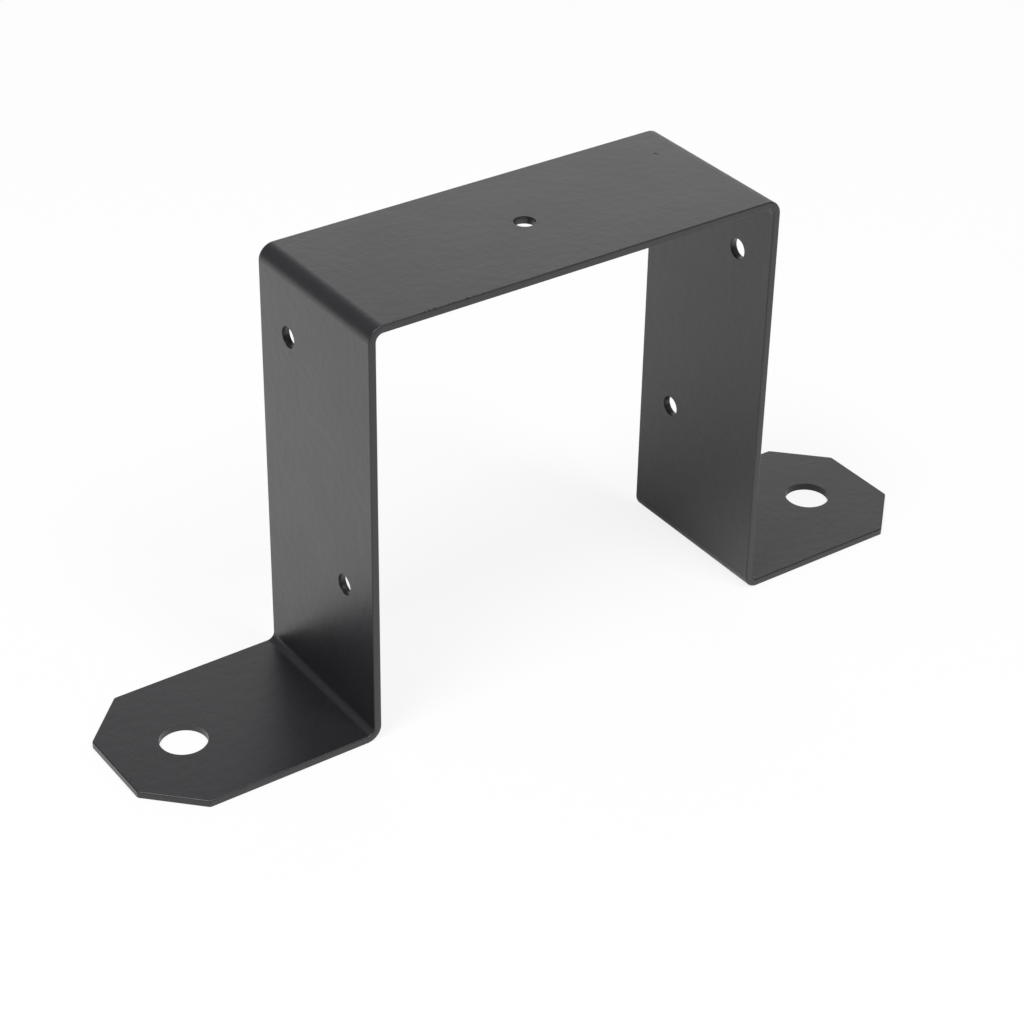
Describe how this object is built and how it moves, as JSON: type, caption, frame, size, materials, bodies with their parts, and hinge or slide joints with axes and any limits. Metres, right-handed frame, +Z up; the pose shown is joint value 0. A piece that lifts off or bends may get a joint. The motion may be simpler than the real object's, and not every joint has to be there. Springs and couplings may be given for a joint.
{
  "type": "u bracket",
  "caption": "Folded steel U bracket with a flat top plate, upright legs and outward feet with cut corners, drilled for screws and bolts.",
  "frame": {"origin": "on the standing plane under the feet, midway between the legs and midway across the strip", "axes": "+X along the length from foot to foot, +Y across the strip, +Z up towards the top plate"},
  "size_m": [0.1854, 0.0382, 0.0905],
  "materials": {
    "black_powder_coat": "satin black powder coat with a fine texture"
  },
  "bodies": {
    "root": {"u_bracket": "black_powder_coat"}
  },
  "joints": []
}
